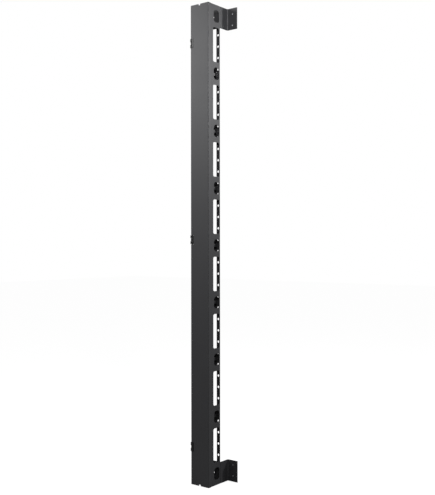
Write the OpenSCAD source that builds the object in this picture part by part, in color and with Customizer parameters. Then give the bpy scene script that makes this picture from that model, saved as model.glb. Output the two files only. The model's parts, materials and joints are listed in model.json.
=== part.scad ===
// Vertical cable manager for a rack: a perforated steel channel with a hinged
// cover, split cable rings inside it and an offset rack bracket at each end.
// The row's origin is the centre of the lower bracket's rack holes, on the front
// face of its rack flange. +Z is up, the cover faces -Y, the rack is on +X.

/* [Overall] */
// Height in rack units
rack_units = 42; // [42:1:46]
// Width over the cover
body_w = 88.9; // [80:0.1:110]
// Depth from the cover's face to the back of the channel
body_d = 76.2; // [70:0.1:110]

/* [Channel] */
// Channel sheet thickness
sheet = 1.5; // [1.2:0.1:2]
// Inside radius of the channel's bends
bend_r = 1.5; // [1:0.1:2.5]
// Rack units from one back window to the next
bay_units = 5; // [4.5:0.1:5]
// Height of the steel left between two back windows, in rack units
bridge_units = 1.5; // [1.3:0.1:2]
// Steel left beside a back window, from the wall's outer face
back_window_side = 17.5; // [15.5:0.1:20]
// Corner radius of the windows
window_r = 7; // [4:0.5:10]
// Height of the side windows, in rack units
side_window_units = 3; // [2:0.1:3.2]
// Depth behind the cover's face at which the side cut-outs start
side_window_front = 32; // [26:0.5:34]
// Steel left between a side cut-out and the channel's back
side_window_rear = 6; // [5:0.5:12]
// Depth of the small side cut-outs, front to back
exit_w = 33; // [24:0.5:38]
// Height of the small side cut-outs
exit_h = 47; // [36:0.5:54]
// Corner radius of the small side cut-outs
exit_r = 12; // [8:0.5:12]
// Radius of the back holes, one per rack unit
unit_hole_r = 4.5; // [3:0.1:4.8]
// Distance of those holes from the wall's outer face
unit_hole_side = 9.5; // [9:0.1:10.5]
// Width of the front return on the bracket side
free_lip_w = 5.5; // [4.5:0.1:7]
// Length of that return cut away at each end
free_lip_relief = 8; // [4:0.5:20]
// Width of the front return that carries the hinges
hinge_lip_w = 12; // [11.5:0.1:13]

/* [Cover] */
// Cover sheet thickness
cover_t = 1.5; // [1.2:0.1:2]
// Inside radius of the cover's bends
cover_bend_r = 1.5; // [1:0.1:2.5]
// Depth of the cover's side flanges
cover_flange = 14; // [13:0.1:16]
// Width of the return on the cover's hinge-side flange
cover_return = 9.5; // [6:0.1:10]
// Clearance between the cover's flange and the channel's wall
cover_gap = 0.45; // [0.3:0.05:0.8]
// Width of the notch at each end of the cover
notch_w = 8.8; // [6:0.1:14]
// Depth of that notch
notch_d = 6; // [5:0.1:12]
// Width of the magnetic strip
magnet_w = 10; // [7:0.5:14]
// Thickness of the magnetic strip
magnet_t = 1.5; // [1:0.1:2]
// Air between the closed strip and the channel's front return
magnet_gap = 0.3; // [0.2:0.1:0.5]
// Strip left off at each end
magnet_end = 12; // [4:1:40]

/* [Hinges] */
// Height of each hinge's centre as a distance from its end of the channel
hinge_end = 147; // [110:1:160]
// Height of a whole hinge
hinge_h = 34; // [30:0.5:44]
// Height of the middle knuckle
hinge_mid_h = 11.4; // [9:0.1:14]
// Radius of the outer knuckles
knuckle_r = 8.3; // [7.5:0.1:9]
// Radius of the middle knuckle
mid_knuckle_r = 6.6; // [5:0.1:7]
// Distance of the hinge pin behind the cover's face, and in from its side
pin_inset = 5; // [4.5:0.1:5.5]
// Radius of the hinge pin
pin_r = 2; // [1.5:0.1:2.5]
// Radial clearance of the pin in its bores
pin_fit = 0.05; // [0.03:0.01:0.1]
// Gap between neighbouring knuckles, and round the hinge
hinge_gap = 0.3; // [0.2:0.05:0.5]
// Thickness of the hinge's fixed base
hinge_base_t = 4; // [3.6:0.1:4.2]
// Thickness of the hinge's leaf on the cover
leaf_t = 2.5; // [2:0.1:3]
// Width of that leaf
leaf_w = 18; // [15:0.5:24]
// Height of that leaf
leaf_h = 28; // [24:0.5:32]

/* [Cable rings] */
// Space between a ring and the wall's outer face
ring_side = 12.5; // [11.5:0.1:16]
// Clearance between the rings and the hinge side's front return
ring_gap = 1; // [0.5:0.1:6]
// Thickness of a ring's wall
ring_t = 3; // [2:0.1:4]
// Height of a ring's band
ring_h = 12; // [8:0.5:16]
// Height of a ring's base
ring_base_h = 27; // [22:0.5:40]
// Outer corner radius of a ring
ring_r = 6; // [5:0.5:12]
// Opening in the front of a ring
ring_split = 8; // [5:0.5:14]
// Offset of that opening towards the brackets
ring_split_x = 5; // [0:0.5:10]
// Radius of the rounded tips beside the opening
ring_tip_r = 2.4; // [1.8:0.1:3]
// Spacing of the two rivets of a ring
ring_rivet_span = 36; // [28:0.5:40]

/* [Rack brackets] */
// Bracket plate thickness
bracket_t = 2.5; // [2:0.1:3]
// Height of a bracket
bracket_h = 84; // [80:0.5:110]
// Distance from the channel's back to the front of the rack flange
bracket_reach = 48; // [30:0.5:90]
// Reach of the rack flange past the channel's side
flange_w = 46; // [36:0.5:60]
// Inside radius of the bend behind the channel
bracket_bend_r = 2.5; // [2:0.1:2.8]
// Inside radius of the rack flange's bend
flange_bend_r = 4; // [2:0.1:5]
// Distance of the rack holes from the flange's outer edge
rack_hole_edge = 22; // [14:0.5:26]
// Radius of the two fixing holes in each end of the back
fixing_hole_r = 3; // [2:0.1:4]
// Spacing of those two fixing holes
fixing_span = 22.2; // [16:0.1:30]
// Distance of those fixing holes from the channel's end
fixing_end = 38.1; // [34:0.1:44]

/* [Fasteners] */
// Radius of the bracket screws
screw_r = 2.4; // [2:0.1:2.6]
// Radial clearance of the bracket screws in their holes
screw_fit = 0.25; // [0.1:0.05:0.5]
// Radius of the bracket screws' heads
screw_head_r = 5.4; // [5.2:0.1:6]
// Height of the bracket screws' heads
screw_head_h = 2.4; // [1.8:0.1:3]
// Width across the flats of the bracket nuts
nut_af = 8; // [7:0.1:10]
// Height of the bracket nuts
nut_h = 4; // [3:0.1:5]
// Bore radius of the press-in rack nuts
rack_nut_bore = 2.5; // [2:0.1:2.7]
// Radius of the flange's holes, which the rack nuts' collars fill
rack_hole_r = 3.8; // [3.6:0.1:4.2]
// Radius of the rack nuts' bodies
rack_nut_r = 5.2; // [4.8:0.1:6]
// Length of the rack nuts behind the flange
rack_nut_h = 4; // [3:0.1:6]
// Radius of the ring rivets
rivet_r = 1.6; // [1.2:0.1:2]
// Radius of the ring rivets' heads
rivet_head_r = 3.2; // [2.6:0.1:3.6]
// Height of the ring rivets' heads
rivet_head_h = 1.2; // [0.8:0.1:1.6]
// Radius of the hinge screws
hinge_screw_r = 1.5; // [1.2:0.1:1.8]
// Radius of the hinge screws' heads
hinge_screw_head_r = 2.8; // [2.4:0.1:3.2]
// Spacing of the two screws of a hinge
hinge_screw_span = 22; // [18:0.5:24]
// Radius of the weld studs that hold the hinge leaves
stud_r = 1.5; // [1.2:0.1:1.8]
// Spacing of the two studs of a leaf
stud_span = 17; // [14:0.5:20]
// Width across the flats of the stud nuts
stud_nut_af = 5.5; // [5:0.1:6.5]
// Height of the stud nuts
stud_nut_h = 2.4; // [1.8:0.1:3]

/* [Hidden] */
$fn = 48;
eps = 0.5;                      // how far a cutter runs past what it cuts
rack_unit = 44.45;              // one rack unit of EIA-310
height = rack_units * rack_unit;
bays = 8;                       // back windows, with a ring between each pair
bay_0 = (rack_units - (bays - 1) * bay_units) / 2 * rack_unit;
bay_pitch = bay_units * rack_unit;
wall_x = body_w / 2 - cover_t - cover_gap;      // outer face of both channel walls
back_window_w = 2 * (wall_x - back_window_side);
unit_hole_span = 2 * (wall_x - unit_hole_side);
ring_w = 2 * (wall_x - ring_side);
back_y = body_d - sheet;                        // inner face of the channel's back
free_lip_y = cover_t + magnet_t + magnet_gap;   // front of the bracket side's return
magnet_edge = body_w / 2 - cover_t - cover_bend_r - 0.1;    // just clear of the bend
pin_x = pin_inset - body_w / 2;
pin_y = pin_inset;
// The radius that the cover's hinge-side flange and return sweep about the pin.
swing_r = norm([max(pin_inset, cover_return - pin_inset), cover_flange - pin_inset]);
hinge_lip_y = max(pin_y + swing_r + 2 * hinge_gap,
                  pin_y + mid_knuckle_r + hinge_gap + hinge_base_t);
hinge_z = [hinge_end, height / 2 + rack_unit / 2, height - hinge_end];
cut_h = hinge_h + 4 * hinge_gap;                // cover's cut-out round a hinge
cut_x = pin_x + knuckle_r + 3 * hinge_gap;
leaf_x = cut_x + hinge_gap;                     // near edge of the leaf on the cover
ring_y = hinge_lip_y + sheet + ring_gap;        // front of the rings
ring_d = back_y - ring_y;
flange_y = body_d + bracket_reach;              // front face of the rack flange
flange_x = wall_x + flange_w;
rack_hole_x = flange_x - rack_hole_edge;
rack_hole_span = rack_unit;
rack_hole_z = rack_unit;
nut_seat_y = body_d + bracket_t;
screw_z = [rack_unit / 2, rack_unit * 3 / 2];
hinge_screw_x = hinge_lip_w - 5 - wall_x;
stud_x = leaf_x + leaf_w * 0.6;

// ---- placing and shared shapes ----

// From the channel's own frame (middle of the width, cover's face, lower end)
// to the row's frame at the lower rack holes.
module seat() {
    translate([-rack_hole_x, -flange_y, -rack_hole_z]) children();
}

// A plate lying in the X-Z plane, from y to y + t.
module upright_plate(y, t) {
    translate([0, y + t, 0]) rotate([90, 0, 0]) linear_extrude(t) children();
}

// A profile in the Y-Z plane, run along X from x to x + w.
module side_run(x, w) {
    translate([x, 0, 0]) rotate([90, 0, 90]) linear_extrude(w) children();
}

module round_rect(w, h, r) {
    square([w, h - 2 * r], center = true);
    square([w - 2 * r, h], center = true);
    for (sx = [-1, 1], sy = [-1, 1])
        translate([sx * (w / 2 - r), sy * (h / 2 - r)]) circle(r);
}

// A quarter bend of sheet: centre c, inside radius r, thickness t, in the
// quadrant that the signs point to.
module bend(c, r, t, sx, sy) {
    translate(c) intersection() {
        difference() { circle(r + t); circle(r); }
        translate([sx > 0 ? 0 : -r - t - 1, sy > 0 ? 0 : -r - t - 1]) square(r + t + 1);
    }
}

// A low domed head of radius r and height h, standing on z = 0.
module dome(r, h) {
    ball = (r * r + h * h) / (2 * h);
    intersection() {
        translate([0, 0, h - ball]) sphere(ball, $fn = 64);
        cylinder(r = r, h = h + 1);
    }
}

module hex_nut(af, h, bore) {
    difference() {
        intersection() {
            rotate(30) cylinder(r = af / sqrt(3), h = h, $fn = 6);
            translate([0, 0, h / 2]) cylinder(r = af / sqrt(3) - 0.25, h = h + 1, center = true);
        }
        translate([0, 0, -eps]) cylinder(r = bore, h = h + 2 * eps);
    }
}

// ---- channel ----

// One wall of the channel with its rear bend, front bend and front return,
// drawn on the +X side: front is the return's outer face, lip its width.
module wall_profile(front, lip) {
    ro = sheet + bend_r;
    bend([wall_x - ro, body_d - ro], bend_r, sheet, 1, 1);
    translate([wall_x - sheet, front + ro]) square([sheet, body_d - 2 * ro - front]);
    bend([wall_x - ro, front + ro], bend_r, sheet, 1, -1);
    translate([wall_x - lip, front]) square([lip - ro, sheet]);
}

module channel_profile() {
    ro = sheet + bend_r;
    translate([-wall_x + ro, back_y]) square([2 * (wall_x - ro), sheet]);
    wall_profile(free_lip_y, free_lip_w);
    mirror([1, 0]) wall_profile(hinge_lip_y, hinge_lip_w);
}

module back_cuts() {
    upright_plate(back_y - eps, sheet + 2 * eps) {
        for (i = [0 : bays - 1]) translate([0, bay_0 + i * bay_pitch])
            round_rect(back_window_w, bay_pitch - bridge_units * rack_unit, window_r);
        for (k = [0 : rack_units - 1], s = [-1, 1])
            translate([s * unit_hole_span / 2, (k + 0.5) * rack_unit]) circle(unit_hole_r);
    }
}

// The two fixing holes near each end, cut through the back and the bracket.
module fixing_cuts() {
    for (z = [fixing_end, height - fixing_end], s = [-1, 1])
        translate([s * fixing_span / 2, back_y - eps, z]) rotate([-90, 0, 0])
            cylinder(r = fixing_hole_r, h = sheet + bracket_t + 2 * eps);
}

module ring_rivet_cuts() {
    for (i = [0 : bays - 2], s = [-1, 1])
        translate([s * ring_rivet_span / 2, back_y - eps, bay_0 + (i + 0.5) * bay_pitch])
            rotate([-90, 0, 0]) cylinder(r = rivet_r + 0.1, h = sheet + 2 * eps);
}

module side_cuts() {
    rear = body_d - side_window_rear;
    side_run(-wall_x - eps, 2 * (wall_x + eps)) {
        for (i = [0 : bays - 1])
            translate([(side_window_front + rear) / 2, bay_0 + i * bay_pitch])
                round_rect(rear - side_window_front, side_window_units * rack_unit, window_r);
        for (i = [-1 : bays - 1])
            translate([rear - exit_w / 2 - 1, bay_0 + (i + 0.5) * bay_pitch])
                round_rect(exit_w, exit_h, exit_r);
    }
}

module channel() color([0.10, 0.10, 0.11]) seat() difference() {
    linear_extrude(height) channel_profile();
    back_cuts();
    fixing_cuts();
    ring_rivet_cuts();
    side_cuts();
    for (z = [-eps, height - free_lip_relief])
        translate([wall_x - free_lip_w - eps, free_lip_y - eps, z])
            cube([free_lip_w + eps - sheet, sheet + bend_r + eps, free_lip_relief + eps]);
    for (z = hinge_z, s = [-1, 1])
        translate([hinge_screw_x, hinge_lip_y - eps, z + s * hinge_screw_span / 2])
            rotate([-90, 0, 0]) cylinder(r = hinge_screw_r + 0.1, h = sheet + 2 * eps);
}

// ---- cover ----

module cover_profile() {
    ro = cover_t + cover_bend_r;
    x = body_w / 2;
    translate([-x + ro, 0]) square([2 * (x - ro), cover_t]);
    for (m = [0, 1]) mirror([m, 0]) {
        bend([x - ro, ro], cover_bend_r, cover_t, 1, -1);
        translate([x - cover_t, ro]) square([cover_t, cover_flange - ro - (m == 1 ? ro : 0)]);
    }
    mirror([1, 0]) {
        bend([x - ro, cover_flange - ro], cover_bend_r, cover_t, 1, 1);
        translate([x - cover_return, cover_flange - cover_t]) square([cover_return - ro, cover_t]);
    }
}

// A round-bottomed notch in the middle of an end, cut from z = 0 upwards.
module notch() {
    upright_plate(-eps, cover_t + 2 * eps) {
        translate([0, notch_d - notch_w / 2]) circle(notch_w / 2);
        translate([-notch_w / 2, -eps]) square([notch_w, notch_d - notch_w / 2 + eps]);
    }
}

module cover() color([0.14, 0.14, 0.15]) seat() {
    difference() {
        linear_extrude(height) cover_profile();
        notch();
        translate([0, 0, height]) mirror([0, 0, 1]) notch();
        for (z = hinge_z)
            translate([-body_w / 2 - eps, -eps, z - cut_h / 2])
                cube([cut_x + body_w / 2 + eps, cover_flange + 2 * eps, cut_h]);
    }
    for (z = hinge_z, s = [-1, 1])
        translate([stud_x, cover_t - 0.2, z + s * stud_span / 2]) rotate([-90, 0, 0])
            cylinder(r = stud_r, h = leaf_t + stud_nut_h + 0.8);
}

module magnetic_strip() color([0.05, 0.05, 0.05]) seat()
    translate([magnet_edge - magnet_w, cover_t, magnet_end])
        cube([magnet_w, magnet_t, height - 2 * magnet_end]);

// ---- hinges ----

module pin_bore(h) {
    translate([pin_x, pin_y, -h / 2 - eps]) cylinder(r = pin_r + pin_fit, h = h + 2 * eps);
}

module hinge_body(z) color([0.07, 0.07, 0.07]) seat() translate([0, 0, z]) {
    end_h = (hinge_h - hinge_mid_h) / 2 - hinge_gap;
    base_y = hinge_lip_y - hinge_base_t;
    difference() {
        union() {
            for (s = [-1, 1]) translate([0, 0, s * (hinge_h - end_h) / 2]) {
                translate([pin_x, pin_y, 0]) cylinder(r = knuckle_r, h = end_h, center = true);
                translate([pin_x - 3, pin_y, -end_h / 2])
                    cube([knuckle_r + 2.4, base_y - pin_y + 1, end_h]);
            }
            upright_plate(base_y, hinge_base_t)
                translate([-wall_x + hinge_lip_w / 2, 0])
                    round_rect(hinge_lip_w, hinge_h, 1.5);
        }
        pin_bore(hinge_h);
        for (s = [-1, 1])
            translate([hinge_screw_x, base_y + 0.8, s * hinge_screw_span / 2])
                rotate([-90, 0, 0]) cylinder(r = hinge_screw_r + 0.05, h = hinge_base_t);
    }
}

module hinge_leaf(z) color([0.07, 0.07, 0.07]) seat() translate([0, 0, z]) {
    neck_h = hinge_mid_h - 0.6;
    difference() {
        union() {
            translate([pin_x, pin_y, 0])
                cylinder(r = mid_knuckle_r, h = hinge_mid_h, center = true);
            translate([pin_x, cover_t, -neck_h / 2]) cube([leaf_x - pin_x + 2, leaf_t, neck_h]);
            upright_plate(cover_t, leaf_t)
                translate([leaf_x + leaf_w / 2, 0]) round_rect(leaf_w, leaf_h, 3);
        }
        pin_bore(hinge_mid_h);
        for (s = [-1, 1])
            translate([stud_x, cover_t - eps, s * stud_span / 2]) rotate([-90, 0, 0])
                cylinder(r = stud_r + 0.1, h = leaf_t + 2 * eps);
    }
}

module hinge_pin(z) color([0.7, 0.7, 0.72]) seat()
    translate([pin_x, pin_y, z]) {
        cylinder(r = pin_r, h = hinge_h, center = true);
        for (s = [0, 1]) mirror([0, 0, s]) translate([0, 0, hinge_h / 2]) dome(pin_r + 0.8, 0.8);
    }

module hinge_screws() color([0.6, 0.6, 0.62]) seat() for (z = hinge_z, s = [-1, 1])
    translate([hinge_screw_x, hinge_lip_y, z + s * hinge_screw_span / 2]) {
        translate([0, sheet, 0]) rotate([-90, 0, 0]) dome(hinge_screw_head_r, 1.4);
        translate([0, 2 - hinge_base_t, 0]) rotate([-90, 0, 0])
            cylinder(r = hinge_screw_r, h = hinge_base_t - 2 + sheet + 0.5);
    }

module leaf_nuts() color([0.6, 0.6, 0.62]) seat() for (z = hinge_z, s = [-1, 1])
    translate([stud_x, cover_t + leaf_t, z + s * stud_span / 2])
        rotate([-90, 0, 0]) hex_nut(stud_nut_af, stud_nut_h, stud_r + 0.05);

// ---- cable rings ----

// A split ring: a rounded band open at the front, with rounded tips, on a
// taller base that is gusseted to the band's two arms.
module ring(i) color([0.09, 0.09, 0.09]) seat()
    translate([0, ring_y, bay_0 + (i - 0.5) * bay_pitch]) {
        gusset = (ring_base_h - ring_h) / 2;
        difference() {
            union() {
                translate([0, 0, -ring_h / 2]) linear_extrude(ring_h) {
                    difference() {
                        translate([0, ring_d / 2]) round_rect(ring_w, ring_d, ring_r);
                        translate([0, ring_d / 2])
                            round_rect(ring_w - 2 * ring_t, ring_d - 2 * ring_t, ring_r - ring_t);
                        translate([ring_split_x - ring_split / 2 - ring_tip_r, -eps])
                            square([ring_split + 2 * ring_tip_r, ring_t + 2 * eps]);
                    }
                    for (s = [-1, 1])
                        translate([ring_split_x + s * (ring_split / 2 + ring_tip_r), ring_tip_r])
                            circle(ring_tip_r);
                }
                upright_plate(ring_d - ring_t, ring_t) round_rect(ring_w, ring_base_h, 4);
                for (s = [-1, 1], m = [0, 1]) mirror([0, 0, m])
                    side_run(s * (ring_w - ring_t) / 2 - ring_t / 2, ring_t)
                        polygon([[ring_d - ring_t - gusset - 1, ring_h / 2 - 1],
                                 [ring_d - ring_t + 1, ring_h / 2 - 1],
                                 [ring_d - ring_t + 1, ring_base_h / 2 - 4],
                                 [ring_d - ring_t, ring_base_h / 2 - 4]]);
            }
            for (s = [-1, 1])
                translate([s * ring_rivet_span / 2, ring_d - ring_t - eps, 0]) rotate([-90, 0, 0])
                    cylinder(r = rivet_r + 0.1, h = ring_t + 2 * eps);
        }
    }

module ring_rivets() color([0.55, 0.55, 0.57]) seat()
    for (i = [1 : bays - 1], s = [-1, 1])
        translate([s * ring_rivet_span / 2, back_y - ring_t, bay_0 + (i - 0.5) * bay_pitch])
            rotate([-90, 0, 0]) {
                cylinder(r = rivet_r, h = ring_t + sheet + 0.2);
                mirror([0, 0, 1]) dome(rivet_head_r, rivet_head_h);
                translate([0, 0, ring_t + sheet]) dome(rivet_head_r * 0.75, 1);
            }

// ---- rack brackets ----

module bracket_profile() {
    ro = bracket_bend_r + bracket_t;
    translate([-wall_x, body_d]) square([2 * wall_x - ro, bracket_t]);
    bend([wall_x - ro, body_d + ro], bracket_bend_r, bracket_t, 1, -1);
    translate([wall_x - bracket_t, body_d + ro])
        square([bracket_t, flange_y - flange_bend_r - body_d - ro]);
    bend([wall_x + flange_bend_r, flange_y - flange_bend_r], flange_bend_r, bracket_t, -1, 1);
    translate([wall_x + flange_bend_r, flange_y])
        square([flange_w - flange_bend_r, bracket_t]);
}

// A bracket on the lower end, z = 0 at the channel's end.
module bracket() difference() {
    linear_extrude(bracket_h) bracket_profile();
    for (s = [-1, 1]) {
        for (z = screw_z)
            translate([s * unit_hole_span / 2, body_d - eps, z]) rotate([-90, 0, 0])
                cylinder(r = screw_r + screw_fit, h = bracket_t + 2 * eps);
        translate([s * fixing_span / 2, body_d - eps, fixing_end]) rotate([-90, 0, 0])
            cylinder(r = fixing_hole_r, h = bracket_t + 2 * eps);
        translate([rack_hole_x, flange_y - eps, rack_hole_z + s * rack_hole_span / 2])
            rotate([-90, 0, 0]) cylinder(r = rack_hole_r, h = bracket_t + 2 * eps);
    }
}

module lower_bracket() color([0.12, 0.12, 0.13]) seat() bracket();

module upper_bracket() color([0.12, 0.12, 0.13]) seat()
    translate([0, 0, height]) mirror([0, 0, 1]) bracket();

module each_bracket_screw() {
    for (s = [-1, 1], z = concat(screw_z, [for (z = screw_z) height - z]))
        translate([s * unit_hole_span / 2, 0, z]) children();
}

module bracket_screws() color([0.3, 0.3, 0.31]) seat() each_bracket_screw() {
    translate([0, back_y, 0]) rotate([90, 0, 0]) difference() {
        dome(screw_head_r, screw_head_h);
        translate([0, 0, screw_head_h - 1.2]) for (a = [0, 90]) rotate(a)
            translate([-2.4, -0.5, 0]) cube([4.8, 1, 2]);
    }
    translate([0, back_y - 0.2, 0]) rotate([-90, 0, 0])
        cylinder(r = screw_r, h = sheet + bracket_t + nut_h + 1.2);
}

module bracket_nuts() color([0.6, 0.6, 0.62]) seat() each_bracket_screw()
    translate([0, nut_seat_y, 0]) rotate([-90, 0, 0]) hex_nut(nut_af, nut_h, screw_r + 0.05);

// Press-in nuts in the rack flanges: a collar in the hole, almost flush with the
// flange's front, and a round body behind it.
module rack_nuts() color([0.5, 0.5, 0.52]) seat()
    for (e = [rack_hole_z, height - rack_hole_z], s = [-1, 1])
        translate([rack_hole_x, flange_y, e + s * rack_hole_span / 2]) rotate([-90, 0, 0])
            difference() {
                union() {
                    translate([0, 0, 0.2]) cylinder(r = rack_hole_r - 0.05, h = bracket_t);
                    translate([0, 0, bracket_t]) cylinder(r = rack_nut_r, h = rack_nut_h);
                }
                translate([0, 0, -eps])
                    cylinder(r = rack_nut_bore, h = bracket_t + rack_nut_h + 2 * eps);
            }

// ---- nodes ----

module ring_1() ring(1);
module ring_2() ring(2);
module ring_3() ring(3);
module ring_4() ring(4);
module ring_5() ring(5);
module ring_6() ring(6);
module ring_7() ring(7);
module lower_hinge_body() hinge_body(hinge_z[0]);
module middle_hinge_body() hinge_body(hinge_z[1]);
module upper_hinge_body() hinge_body(hinge_z[2]);
module lower_hinge_leaf() hinge_leaf(hinge_z[0]);
module middle_hinge_leaf() hinge_leaf(hinge_z[1]);
module upper_hinge_leaf() hinge_leaf(hinge_z[2]);
module lower_hinge_pin() hinge_pin(hinge_z[0]);
module middle_hinge_pin() hinge_pin(hinge_z[1]);
module upper_hinge_pin() hinge_pin(hinge_z[2]);

channel();
cover();
magnetic_strip();
lower_bracket();
upper_bracket();
bracket_screws();
bracket_nuts();
rack_nuts();
ring_1();
ring_2();
ring_3();
ring_4();
ring_5();
ring_6();
ring_7();
ring_rivets();
lower_hinge_body();
middle_hinge_body();
upper_hinge_body();
lower_hinge_leaf();
middle_hinge_leaf();
upper_hinge_leaf();
lower_hinge_pin();
middle_hinge_pin();
upper_hinge_pin();
hinge_screws();
leaf_nuts();
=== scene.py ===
"""Looks of a vertical cable manager: a tall perforated steel channel with a hinged cover.

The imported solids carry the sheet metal, the fasteners and the hinge pins. This
script dresses them, makes the moulded cable rings as computed surfaces, and
sets the studio.
"""

from __future__ import annotations

import json
import logging
import math
from dataclasses import dataclass
from enum import Enum

import bpy
import numpy as np
from mathutils import Matrix, Vector

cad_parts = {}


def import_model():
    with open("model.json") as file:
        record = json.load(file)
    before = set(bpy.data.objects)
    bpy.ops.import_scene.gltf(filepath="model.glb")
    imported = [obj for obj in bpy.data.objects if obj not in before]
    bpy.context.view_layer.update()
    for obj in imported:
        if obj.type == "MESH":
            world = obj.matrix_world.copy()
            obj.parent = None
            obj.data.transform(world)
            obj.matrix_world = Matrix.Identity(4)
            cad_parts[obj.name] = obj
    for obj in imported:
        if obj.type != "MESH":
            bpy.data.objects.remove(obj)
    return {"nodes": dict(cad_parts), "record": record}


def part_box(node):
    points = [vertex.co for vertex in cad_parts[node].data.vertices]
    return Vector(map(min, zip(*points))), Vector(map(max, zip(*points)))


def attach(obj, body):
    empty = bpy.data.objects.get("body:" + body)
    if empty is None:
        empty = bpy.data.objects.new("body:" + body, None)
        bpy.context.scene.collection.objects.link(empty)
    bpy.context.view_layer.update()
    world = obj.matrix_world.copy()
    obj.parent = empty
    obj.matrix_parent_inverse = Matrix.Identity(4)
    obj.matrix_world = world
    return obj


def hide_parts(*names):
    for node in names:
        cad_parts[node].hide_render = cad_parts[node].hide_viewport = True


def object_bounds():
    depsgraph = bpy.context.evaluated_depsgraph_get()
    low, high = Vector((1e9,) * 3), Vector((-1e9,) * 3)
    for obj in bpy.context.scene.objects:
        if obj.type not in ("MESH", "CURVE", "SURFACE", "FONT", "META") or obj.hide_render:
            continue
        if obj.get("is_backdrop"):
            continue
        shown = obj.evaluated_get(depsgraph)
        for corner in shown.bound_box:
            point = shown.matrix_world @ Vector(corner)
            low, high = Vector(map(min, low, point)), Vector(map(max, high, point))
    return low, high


log = logging.getLogger("cable_manager")

MM = 0.001
RING_COUNT = 7


# ---- finishes ----


class Slot(str, Enum):
    """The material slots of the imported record."""

    CHANNEL = "channel_coat"
    COVER = "cover_coat"
    BRACKET = "bracket_coat"
    MAGNET = "magnet_rubber"
    HINGE = "hinge_metal"
    RING = "ring_plastic"
    BLACK_ZINC = "black_zinc"
    ZINC = "zinc"
    PIN = "pin_steel"


@dataclass(frozen=True)
class Finish:
    """A surface finish: a colour with a fine texture, cloudiness and rubbed spots.

    Lengths are in metres, colours are linear.
    """

    name: str
    colour: tuple[float, float, float]
    rubbed: tuple[float, float, float]
    roughness: float
    metallic: float = 0.0
    specular: float = 0.5
    grain: float = 0.0007
    grain_height: float = 0.00006
    cloud: float = 0.08
    coat: float = 0.0


FINISHES: dict[Slot, Finish] = {
    Slot.CHANNEL: Finish("channel_powder_coat", (0.058, 0.058, 0.062), (0.12, 0.12, 0.12), 0.50),
    Slot.COVER: Finish("cover_powder_coat", (0.062, 0.062, 0.066), (0.13, 0.13, 0.13), 0.48),
    Slot.BRACKET: Finish("bracket_powder_coat", (0.056, 0.056, 0.060), (0.12, 0.12, 0.12), 0.50),
    Slot.MAGNET: Finish(
        "magnet_rubber", (0.016, 0.016, 0.017), (0.05, 0.05, 0.05), 0.72, grain=0.0004
    ),
    Slot.HINGE: Finish(
        "hinge_black", (0.020, 0.020, 0.021), (0.10, 0.10, 0.10), 0.42, grain=0.0004
    ),
    Slot.RING: Finish(
        "ring_moulding", (0.030, 0.030, 0.032), (0.09, 0.09, 0.09), 0.34,
        grain=0.0005, grain_height=0.00002, coat=0.15,
    ),
    Slot.BLACK_ZINC: Finish(
        "black_zinc", (0.09, 0.09, 0.095), (0.30, 0.29, 0.27), 0.36, metallic=0.85,
        grain=0.0003, grain_height=0.00001,
    ),
    Slot.ZINC: Finish(
        "zinc_plate", (0.50, 0.51, 0.53), (0.62, 0.62, 0.60), 0.34, metallic=1.0,
        grain=0.0003, grain_height=0.00001,
    ),
    Slot.PIN: Finish(
        "pin_steel", (0.46, 0.46, 0.48), (0.60, 0.60, 0.60), 0.26, metallic=1.0,
        grain=0.0002, grain_height=0.000005,
    ),
}


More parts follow.
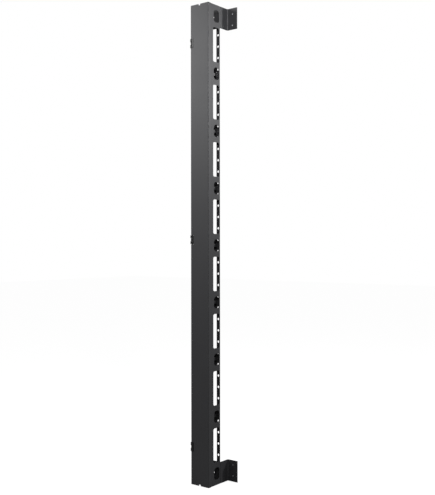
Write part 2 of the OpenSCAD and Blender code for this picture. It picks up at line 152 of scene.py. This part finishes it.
class SurfaceGroup:
    """The shader group that every finish shares: fine texture, clouds and rub."""

    NAME = "fine_surface"

    def __init__(self) -> None:
        """Build the node group once."""
        self.tree = bpy.data.node_groups.new(self.NAME, "ShaderNodeTree")
        self._sockets()
        self._nodes()

    def _sockets(self) -> None:
        """Name the group's inputs and outputs."""
        face = self.tree.interface
        for name, kind, default in (
            ("Colour", "NodeSocketColor", (0.05, 0.05, 0.05, 1.0)),
            ("Rubbed Colour", "NodeSocketColor", (0.1, 0.1, 0.1, 1.0)),
            ("Roughness", "NodeSocketFloat", 0.5),
            ("Grain Scale", "NodeSocketFloat", 1400.0),
            ("Cloud", "NodeSocketFloat", 0.08),
        ):
            socket = face.new_socket(name, in_out="INPUT", socket_type=kind)
            socket.default_value = default
        for name, kind in (
            ("Colour", "NodeSocketColor"),
            ("Roughness", "NodeSocketFloat"),
            ("Height", "NodeSocketFloat"),
        ):
            face.new_socket(name, in_out="OUTPUT", socket_type=kind)

    def _add(self, kind: str, **values: object) -> bpy.types.Node:
        """Add a node and set its properties."""
        node = self.tree.nodes.new(kind)
        for key, value in values.items():
            setattr(node, key, value)
        return node

    def _nodes(self) -> None:
        """Wire the texture: grain height, broad clouds of tone, and rubbed flecks."""
        link = self.tree.links.new
        into = self._add("NodeGroupInput")
        out = self._add("NodeGroupOutput")
        place = self._add("ShaderNodeTexCoord")

        grain = self._add("ShaderNodeTexNoise")
        grain.inputs["Detail"].default_value = 2.0
        grain.inputs["Roughness"].default_value = 0.6
        link(place.outputs["Object"], grain.inputs["Vector"])
        link(into.outputs["Grain Scale"], grain.inputs["Scale"])
        link(grain.outputs["Fac"], out.inputs["Height"])

        cloud = self._add("ShaderNodeTexNoise")
        cloud.inputs["Scale"].default_value = 7.0
        cloud.inputs["Detail"].default_value = 4.0
        link(place.outputs["Object"], cloud.inputs["Vector"])
        signed = self._add("ShaderNodeMath", operation="SUBTRACT")
        signed.inputs[1].default_value = 0.5
        link(cloud.outputs["Fac"], signed.inputs[0])
        swing = self._add("ShaderNodeMath", operation="MULTIPLY")
        link(signed.outputs[0], swing.inputs[0])
        link(into.outputs["Cloud"], swing.inputs[1])

        fleck = self._add("ShaderNodeTexNoise")
        fleck.inputs["Scale"].default_value = 55.0
        fleck.inputs["Detail"].default_value = 5.0
        fleck.inputs["Roughness"].default_value = 0.7
        link(place.outputs["Object"], fleck.inputs["Vector"])
        sharp = self._add("ShaderNodeMapRange")
        sharp.inputs["From Min"].default_value = 0.68
        sharp.inputs["From Max"].default_value = 0.80
        sharp.inputs["To Max"].default_value = 0.35
        link(fleck.outputs["Fac"], sharp.inputs["Value"])

        tone = self._add("ShaderNodeMix", data_type="RGBA")
        link(sharp.outputs["Result"], tone.inputs["Factor"])
        link(into.outputs["Colour"], tone.inputs["A"])
        link(into.outputs["Rubbed Colour"], tone.inputs["B"])
        lift = self._add("ShaderNodeMath", operation="ADD")
        lift.inputs[1].default_value = 1.0
        link(swing.outputs[0], lift.inputs[0])
        shade = self._add("ShaderNodeVectorMath", operation="SCALE")
        link(tone.outputs["Result"], shade.inputs[0])
        link(lift.outputs[0], shade.inputs["Scale"])
        link(shade.outputs[0], out.inputs["Colour"])

        fine = self._add("ShaderNodeMath", operation="MULTIPLY_ADD")
        fine.inputs[1].default_value = 0.12
        link(grain.outputs["Fac"], fine.inputs[0])
        link(into.outputs["Roughness"], fine.inputs[2])
        rough = self._add("ShaderNodeMath", operation="ADD", use_clamp=True)
        link(fine.outputs[0], rough.inputs[0])
        link(swing.outputs[0], rough.inputs[1])
        link(rough.outputs[0], out.inputs["Roughness"])


class Paintshop:
    """Makes one material per finish and hands it out."""

    def __init__(self) -> None:
        """Build the shared group."""
        self.group = SurfaceGroup()
        self.made: dict[Slot, bpy.types.Material] = {}

    def material(self, slot: Slot) -> bpy.types.Material:
        """Return the material of a slot, making it on first use.

        Args:
            slot: the record's slot.

        Returns:
            The dressed material.
        """
        if slot not in self.made:
            self.made[slot] = self._make(FINISHES[slot])
        return self.made[slot]

    def _make(self, finish: Finish) -> bpy.types.Material:
        """Build a material from a finish.

        Args:
            finish: the colours and textures.

        Returns:
            The new material.
        """
        made = bpy.data.materials.new(finish.name)
        made.use_nodes = True
        tree = made.node_tree
        shader = tree.nodes["Principled BSDF"]
        surface = tree.nodes.new("ShaderNodeGroup")
        surface.node_tree = self.group.tree
        surface.inputs["Colour"].default_value = (*finish.colour, 1.0)
        surface.inputs["Rubbed Colour"].default_value = (*finish.rubbed, 1.0)
        surface.inputs["Roughness"].default_value = finish.roughness - 0.06
        surface.inputs["Grain Scale"].default_value = 1.0 / finish.grain
        surface.inputs["Cloud"].default_value = finish.cloud
        bump = tree.nodes.new("ShaderNodeBump")
        bump.inputs["Distance"].default_value = finish.grain_height
        bump.inputs["Strength"].default_value = 1.0
        link = tree.links.new
        link(surface.outputs["Colour"], shader.inputs["Base Color"])
        link(surface.outputs["Roughness"], shader.inputs["Roughness"])
        link(surface.outputs["Height"], bump.inputs["Height"])
        link(bump.outputs["Normal"], shader.inputs["Normal"])
        shader.inputs["Metallic"].default_value = finish.metallic
        shader.inputs["Specular IOR Level"].default_value = finish.specular
        shader.inputs["Coat Weight"].default_value = finish.coat
        return made

    def dress(self, piece: bpy.types.Object, slot: Slot) -> None:
        """Give every face of a piece the slot's material."""
        shade = self.material(slot)
        if not piece.material_slots:
            piece.data.materials.append(shade)
        for place in piece.material_slots:
            place.material = shade


# ---- studio ----


@dataclass
class Studio:
    """Floor, backdrop, lamps and camera round the object."""

    low: Vector
    high: Vector

    def build(self) -> None:
        """Set the whole studio."""
        self._world()
        self._floor()
        self._lamps()
        self._camera()

    def _world(self) -> None:
        """A white surround for the eye and for gloss, and a weak fill for the object."""
        world = bpy.data.worlds.new("studio_world")
        bpy.context.scene.world = world
        world.use_nodes = True
        tree = world.node_tree
        tree.nodes.clear()
        link = tree.links.new
        out = tree.nodes.new("ShaderNodeOutputWorld")
        path = tree.nodes.new("ShaderNodeLightPath")
        seen = tree.nodes.new("ShaderNodeMath")
        seen.operation = "MAXIMUM"
        link(path.outputs["Is Camera Ray"], seen.inputs[0])
        link(path.outputs["Is Transmission Ray"], seen.inputs[1])
        white = tree.nodes.new("ShaderNodeBackground")
        white.inputs["Color"].default_value = (1.0, 1.0, 1.0, 1.0)
        white.inputs["Strength"].default_value = 1.0
        fill = tree.nodes.new("ShaderNodeBackground")
        fill.inputs["Color"].default_value = (1.0, 1.0, 1.0, 1.0)
        fill.inputs["Strength"].default_value = 0.18
        mix = tree.nodes.new("ShaderNodeMixShader")
        link(seen.outputs[0], mix.inputs[0])
        link(fill.outputs[0], mix.inputs[1])
        link(white.outputs[0], mix.inputs[2])
        link(mix.outputs[0], out.inputs["Surface"])

    def _floor(self) -> None:
        """A wide pale floor under the object's lower end, which keeps its shadow."""
        z = self.low.z - 0.0005
        half = 14.0
        u, v = np.meshgrid(np.linspace(-half, half, 3), np.linspace(-half, half, 3))
        points = np.stack([u.ravel(), v.ravel(), np.full(u.size, z)], 1)
        floor = grid_mesh("floor", points, 3, 3)
        shade = bpy.data.materials.new("floor_white")
        shade.use_nodes = True
        tree = shade.node_tree
        tree.nodes.clear()
        link = tree.links.new
        out = tree.nodes.new("ShaderNodeOutputMaterial")
        matt = tree.nodes.new("ShaderNodeBsdfDiffuse")
        matt.inputs["Color"].default_value = (0.30, 0.30, 0.30, 1.0)
        glow = tree.nodes.new("ShaderNodeEmission")
        glow.inputs["Color"].default_value = (1.0, 1.0, 1.0, 1.0)
        path = tree.nodes.new("ShaderNodeLightPath")
        level = tree.nodes.new("ShaderNodeMath")
        level.operation = "MULTIPLY"
        level.inputs[1].default_value = 0.93
        link(path.outputs["Is Camera Ray"], level.inputs[0])
        link(level.outputs[0], glow.inputs["Strength"])
        both = tree.nodes.new("ShaderNodeAddShader")
        link(matt.outputs[0], both.inputs[0])
        link(glow.outputs[0], both.inputs[1])
        link(both.outputs[0], out.inputs["Surface"])
        floor.data.materials.append(shade)
        floor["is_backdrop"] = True

    def _lamp(
        self, name: str, azimuth: float, distance: float, height: float,
        size: tuple[float, float], power: float, aim_height: float,
        spread: float = 180.0,
    ) -> None:
        """Hang a rectangular lamp round the object.

        Args:
            name: the lamp's name.
            azimuth: degrees round the object; 0 is in front, 90 on the +X side.
            distance: metres from the object's middle, level with the floor.
            height: metres above the object's lower end.
            size: the lamp's width and height in metres.
            power: watts.
            aim_height: the height that it points at, above the lower end.
            spread: the full angle of its beam, in degrees.
        """
        data = bpy.data.lights.new(name, "AREA")
        data.shape = "RECTANGLE"
        data.size, data.size_y = size
        data.energy = power
        data.spread = math.radians(spread)
        lamp = bpy.data.objects.new(name, data)
        bpy.context.scene.collection.objects.link(lamp)
        middle = (self.low + self.high) / 2
        turn = math.radians(azimuth)
        lamp.location = (
            middle.x + distance * math.sin(turn),
            middle.y - distance * math.cos(turn),
            self.low.z + height,
        )
        aim = Vector((middle.x, middle.y, self.low.z + aim_height))
        lamp.rotation_mode = "QUATERNION"
        lamp.rotation_quaternion = (aim - lamp.location).to_track_quat("-Z", "Y")

    def _lamps(self) -> None:
        """A large lamp high on the front left, one on the right rear and a weak glint."""
        self._lamp("front_left", -50.0, 2.7, 2.35, (0.9, 0.9), 10.5, 1.2, 100.0)
        self._lamp("right_rear", 127.5, 2.4, 2.0, (0.3, 0.5), 26.0, 1.0)
        self._lamp("corner_glint", 50.0, 2.0, 2.3, (0.25, 0.25), 6.0, 1.6, 80.0)

    def _camera(self) -> None:
        """A long-lens view from the front right, level with the object's middle."""
        data = bpy.data.cameras.new("camera")
        data.sensor_fit = "AUTO"
        data.sensor_width = 36.0
        data.lens = 36.0 * 785.72 / 495.0
        data.clip_end = 100.0
        camera = bpy.data.objects.new("camera", data)
        bpy.context.scene.collection.objects.link(camera)
        bpy.context.scene.camera = camera
        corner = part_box("cover")
        middle_x = (corner[0].x + corner[1].x) / 2
        face_y = corner[0].y
        azimuth, dip, roll = math.radians(37.965), math.radians(0.312), math.radians(-0.059)
        forward = Vector((
            -math.sin(azimuth) * math.cos(dip), math.cos(azimuth) * math.cos(dip), -math.sin(dip)
        ))
        camera.location = (
            middle_x + 1.92566, face_y - 2.35506, corner[0].z + 0.94167
        )
        turn = forward.to_track_quat("-Z", "Y")
        camera.rotation_mode = "QUATERNION"
        camera.rotation_quaternion = turn @ Matrix.Rotation(roll, 4, "Z").to_quaternion()


# ---- computed surfaces ----


def grid_mesh(
    name: str, points: np.ndarray, rows: int, columns: int,
    wrap_rows: bool = False, wrap_columns: bool = False,
) -> bpy.types.Object:
    """Join a grid of points into a smooth sheet.

    Args:
        name: the object's name.
        points: rows times columns points, row by row.
        rows: how many rows.
        columns: how many columns.
        wrap_rows: whether the last row joins the first.
        wrap_columns: whether the last column joins the first.

    Returns:
        The new object, linked to the scene.
    """
    return shell(name, points, [grid_faces(rows, columns, wrap_rows, wrap_columns)])


def grid_faces(
    rows: int, columns: int, wrap_rows: bool = False, wrap_columns: bool = False
) -> np.ndarray:
    """Number the four-cornered faces of a grid.

    Face (i, j) joins points (i, j), (i, j+1), (i+1, j+1) and (i+1, j).

    Args:
        rows: how many rows of points.
        columns: how many columns of points.
        wrap_rows: whether the last row joins the first.
        wrap_columns: whether the last column joins the first.

    Returns:
        An array of four point numbers per face.
    """
    i = np.arange(rows if wrap_rows else rows - 1)
    j = np.arange(columns if wrap_columns else columns - 1)
    i, j = (a.ravel() for a in np.meshgrid(i, j, indexing="ij"))
    i2, j2 = (i + 1) % rows, (j + 1) % columns
    return np.stack(
        [i * columns + j, i * columns + j2, i2 * columns + j2, i2 * columns + j], 1
    )


def shell(name: str, points: np.ndarray, faces: list[np.ndarray]) -> bpy.types.Object:
    """Put points and faces into a smooth-shaded object.

    Args:
        name: the object's name.
        points: an array of points, three numbers each.
        faces: arrays of point numbers, each with its own count of corners.

    Returns:
        The new object, linked to the scene.
    """
    mesh = bpy.data.meshes.new(name)
    corners = np.concatenate([f.ravel() for f in faces]).astype(np.int32)
    totals = np.concatenate([np.full(len(f), f.shape[1]) for f in faces]).astype(np.int32)
    starts = np.concatenate([[0], np.cumsum(totals)[:-1]]).astype(np.int32)
    mesh.vertices.add(len(points))
    mesh.vertices.foreach_set("co", np.asarray(points, np.float32).ravel())
    mesh.loops.add(len(corners))
    mesh.loops.foreach_set("vertex_index", corners)
    mesh.polygons.add(len(totals))
    mesh.polygons.foreach_set("loop_start", starts)
    mesh.polygons.foreach_set("use_smooth", np.ones(len(totals), bool))
    mesh.update(calc_edges=True)
    mesh.validate()
    piece = bpy.data.objects.new(name, mesh)
    bpy.context.scene.collection.objects.link(piece)
    return piece


@dataclass(frozen=True)
class RingShape:
    """The moulded split ring, in metres, drawn from its front face backwards.

    The width and depth are outer sizes. The wall's edges are rounded, the band
    flares into its base, and a round bead ends each side of the split.
    """

    width: float
    depth: float
    wall: float = 3.0 * MM
    height: float = 12.0 * MM
    base_height: float = 27.0 * MM
    corner: float = 6.0 * MM
    split: float = 8.0 * MM
    split_x: float = 5.0 * MM
    bead: float = 2.4 * MM
    flare: float = 11.0 * MM
    flare_height: float = 4.2 * MM
    rim: float = 1.0 * MM


class CableRing:
    """Sweeps a split ring's band and stacks its base's outlines."""

    SECTION_POINTS = 32
    STRAIGHT_STEP = 3.0 * MM
    CORNER_STEPS = 9
    BEAD_STEPS = 9
    OUTLINE_STEPS = 8

    def __init__(self, shape: RingShape) -> None:
        """Keep the shape."""
        self.shape = shape

    def _path(self) -> np.ndarray:
        """Lay the band's middle line from one bead to the other.

        Returns:
            Rows of x, y, and the outward direction's x and y.
        """
        s = self.shape
        half, turn = s.width / 2 - s.wall / 2, s.corner - s.wall / 2
        front, back = s.wall / 2, s.depth - s.wall / 2
        start = s.split_x + s.split / 2 + s.bead
        end = s.split_x - s.split / 2 - s.bead
        rows: list[tuple[float, float, float, float]] = []

        def straight(a: tuple[float, float], b: tuple[float, float]) -> None:
            count = max(2, round(math.dist(a, b) / self.STRAIGHT_STEP))
            along = ((b[0] - a[0]) / math.dist(a, b), (b[1] - a[1]) / math.dist(a, b))
            for t in np.linspace(0.0, 1.0, count, endpoint=False):
                rows.append((
                    a[0] + (b[0] - a[0]) * t, a[1] + (b[1] - a[1]) * t, along[1], -along[0]
                ))

        def bend(cx: float, cy: float, first: float) -> None:
            for t in np.linspace(0.0, 90.0, self.CORNER_STEPS, endpoint=False):
                angle = math.radians(first + t)
                rows.append((
                    cx + turn * math.cos(angle), cy + turn * math.sin(angle),
                    math.cos(angle), math.sin(angle),
                ))

        straight((start, front), (half - turn, front))
        bend(half - turn, front + turn, -90.0)
        straight((half, front + turn), (half, back - turn))
        bend(half - turn, back - turn, 0.0)
        straight((half - turn, back), (-half + turn, back))
        bend(-half + turn, back - turn, 90.0)
        straight((-half, back - turn), (-half, front + turn))
        bend(-half + turn, front + turn, 180.0)
        straight((-half + turn, front), (end, front))
        rows.append((end, front, 0.0, -1.0))
        return np.array(rows)

    def _beads(self, path: np.ndarray) -> tuple[np.ndarray, np.ndarray, np.ndarray]:
        """Add the round beads to both ends of the path.

        Args:
            path: the middle line.

        Returns:
            The longer path, the wall's half thickness and its half height.
        """
        s = self.shape
        turn = np.linspace(90.0, 2.0, self.BEAD_STEPS) * math.pi / 180.0
        reach = s.bead * np.cos(turn)
        round_half = s.bead * np.sin(turn)
        neck = s.bead * np.array([-0.75, -0.5, -0.25])
        neck_half = np.maximum(np.sqrt(s.bead**2 - neck**2), s.wall / 2)
        offset = np.concatenate([neck, reach])
        half = np.concatenate([neck_half, round_half])
        # The front of the wall stays on one plane up to the bead's own middle.
        middle = np.where(offset < 0, np.maximum(half, s.wall / 2), s.bead)
        height = s.height / 2 - 0.9 * MM * (1.0 - half / s.bead) ** 2 * (offset > 0)
        keep = path[:, 0] > -1.0
        first, last = path[0, 0], path[-1, 0]
        inside = (path[:, 1] > s.wall) | (
            (path[:, 0] > first + 0.8 * s.bead) | (path[:, 0] < last - 0.8 * s.bead)
        )
        body = path[keep & inside]
        near = np.stack([first - offset, middle, np.zeros_like(half), -np.ones_like(half)], 1)
        far = np.stack([last + offset, middle, np.zeros_like(half), -np.ones_like(half)], 1)
        flat_half = np.full(len(body), s.wall / 2)
        rise = np.clip((body[:, 1] - (s.depth - s.wall - s.flare)) / s.flare, 0.0, 1.0)
        flat_height = s.height / 2 + s.flare_height * rise**2
        return (
            np.concatenate([near[::-1], body, far]),
            np.concatenate([half[::-1], flat_half, half]),
            np.concatenate([height[::-1], flat_height, height]),
        )

    def _band(self) -> tuple[np.ndarray, list[np.ndarray]]:
        """Sweep the band's rounded section along its path.

        Returns:
            The points and the faces.
        """
        path, thick, tall = self._beads(self._path())
        angle = np.arange(self.SECTION_POINTS) * 2 * math.pi / self.SECTION_POINTS
        across = rounded(np.cos(angle), 0.40)
        upward = rounded(np.sin(angle), 0.40)
        side = np.outer(thick, across)
        points = np.stack([
            path[:, 0:1] + path[:, 2:3] * side,
            path[:, 1:2] + path[:, 3:4] * side,
            np.outer(tall, upward),
        ], 2).reshape(-1, 3)
        return close_ends(points, len(path), self.SECTION_POINTS)

    def _base(self) -> tuple[np.ndarray, list[np.ndarray]]:
        """Stack the base's outlines from its back to its rounded front rim.

        Returns:
            The points and the faces.
        """
        s = self.shape
        turn = np.linspace(0.0, math.pi / 2, 6)
        inset = np.concatenate([[0.0], s.rim * (1 - np.cos(turn))])
        front = s.depth - s.wall
        level = np.concatenate([[s.depth], front + s.rim * (1 - np.sin(turn))])
        rows = []
        for grow, y in zip(inset, level):
            outline = round_outline(
                s.width - 2 * grow, s.base_height - 2 * grow, 4.0 * MM - grow,
                self.OUTLINE_STEPS,
            )
            rows.append(np.stack([outline[:, 0], np.full(len(outline), y), outline[:, 1]], 1))
        return close_ends(np.concatenate(rows), len(rows), len(rows[0]))

    def build(self, name: str, place: Vector) -> bpy.types.Object:
        """Make the ring where its solid lies.

        Args:
            name: the new piece's name.
            place: the middle of the ring's front face.

        Returns:
            The new object.
        """
        points, faces = join_parts([self._band(), self._base()])
        return shell(name, points + np.array(place), faces)


def rounded(wave: np.ndarray, power: float) -> np.ndarray:
    """Square up a sine or cosine into a rounded side."""
    return np.sign(wave) * np.abs(wave) ** power


def round_outline(width: float, height: float, radius: float, steps: int) -> np.ndarray:
    """Draw a rectangle with round corners, anticlockwise about the origin.

    Args:
        width: its whole width.
        height: its whole height.
        radius: of its corners.
        steps: how many points each corner has.

    Returns:
        The outline's points, two numbers each.
    """
    rows = []
    for k, (sx, sy) in enumerate(((1, 1), (-1, 1), (-1, -1), (1, -1))):
        turn = np.linspace(0.0, math.pi / 2, steps) + k * math.pi / 2
        rows.append(np.stack([
            sx * (width / 2 - radius) + radius * np.cos(turn),
            sy * (height / 2 - radius) + radius * np.sin(turn),
        ], 1))
    return np.concatenate(rows)


def close_ends(
    points: np.ndarray, rows: int, columns: int
) -> tuple[np.ndarray, list[np.ndarray]]:
    """Join a stack of closed outlines and cap both ends with a pole.

    Args:
        points: rows times columns points.
        rows: how many outlines.
        columns: how many points in each.

    Returns:
        The points with the two poles, and the faces, which point outwards.
    """
    poles = np.stack([points[:columns].mean(0), points[-columns:].mean(0)])
    first, last = len(points), len(points) + 1
    j = np.arange(columns)
    k = (j + 1) % columns
    base = (rows - 1) * columns
    quads = grid_faces(rows, columns, wrap_columns=True)
    near = np.stack([np.full(columns, first), k, j], 1)
    far = np.stack([np.full(columns, last), base + j, base + k], 1)
    every = np.concatenate([points, poles])
    return every, outwards(every, [quads, near, far])


def outwards(points: np.ndarray, faces: list[np.ndarray]) -> list[np.ndarray]:
    """Turn the faces of a closed shape to point out of it."""
    volume = 0.0
    for group in faces:
        for k in range(1, group.shape[1] - 1):
            a, b, c = (points[group[:, i]] for i in (0, k, k + 1))
            volume += float(np.einsum("ij,ij->", a, np.cross(b, c)))
    return faces if volume > 0 else [group[:, ::-1] for group in faces]


def join_parts(
    parts: list[tuple[np.ndarray, list[np.ndarray]]]
) -> tuple[np.ndarray, list[np.ndarray]]:
    """Put several shapes' points and faces into one list of each."""
    points, faces, count = [], [], 0
    for own_points, own_faces in parts:
        points.append(own_points)
        faces.extend(group + count for group in own_faces)
        count += len(own_points)
    return np.concatenate(points), faces


def cable_rings(paint: Paintshop) -> None:
    """Mould the seven cable rings in place of their plain solids."""
    for number in range(1, RING_COUNT + 1):
        node = f"ring_{number}"
        low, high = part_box(node)
        ring = CableRing(RingShape(width=high.x - low.x, depth=high.y - low.y))
        place = Vector(((low.x + high.x) / 2, low.y, (low.z + high.z) / 2))
        piece = ring.build(f"{node}_moulding", place)
        paint.dress(piece, Slot.RING)
        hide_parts(node)
        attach(piece, "frame")
        log.info("moulded %s with %d faces", piece.name, len(piece.data.polygons))


def main() -> None:
    """Load the frame, dress it, build the studio and report each piece."""
    logging.basicConfig(level=logging.INFO, format="%(name)s: %(message)s")
    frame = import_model()
    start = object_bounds()
    scene = bpy.context.scene
    scene.view_settings.view_transform = "Standard"
    paint = Paintshop()
    slots = {s["node"]: Slot(s["material_slot"]) for s in frame["record"]["subparts"]}
    for name, node in sorted(frame["nodes"].items()):
        paint.dress(node, slots[name])
        log.info("dressed %s in %s", name, slots[name].value)
    cable_rings(paint)
    Studio(*start).build()


if __name__ == "__main__":
    main()
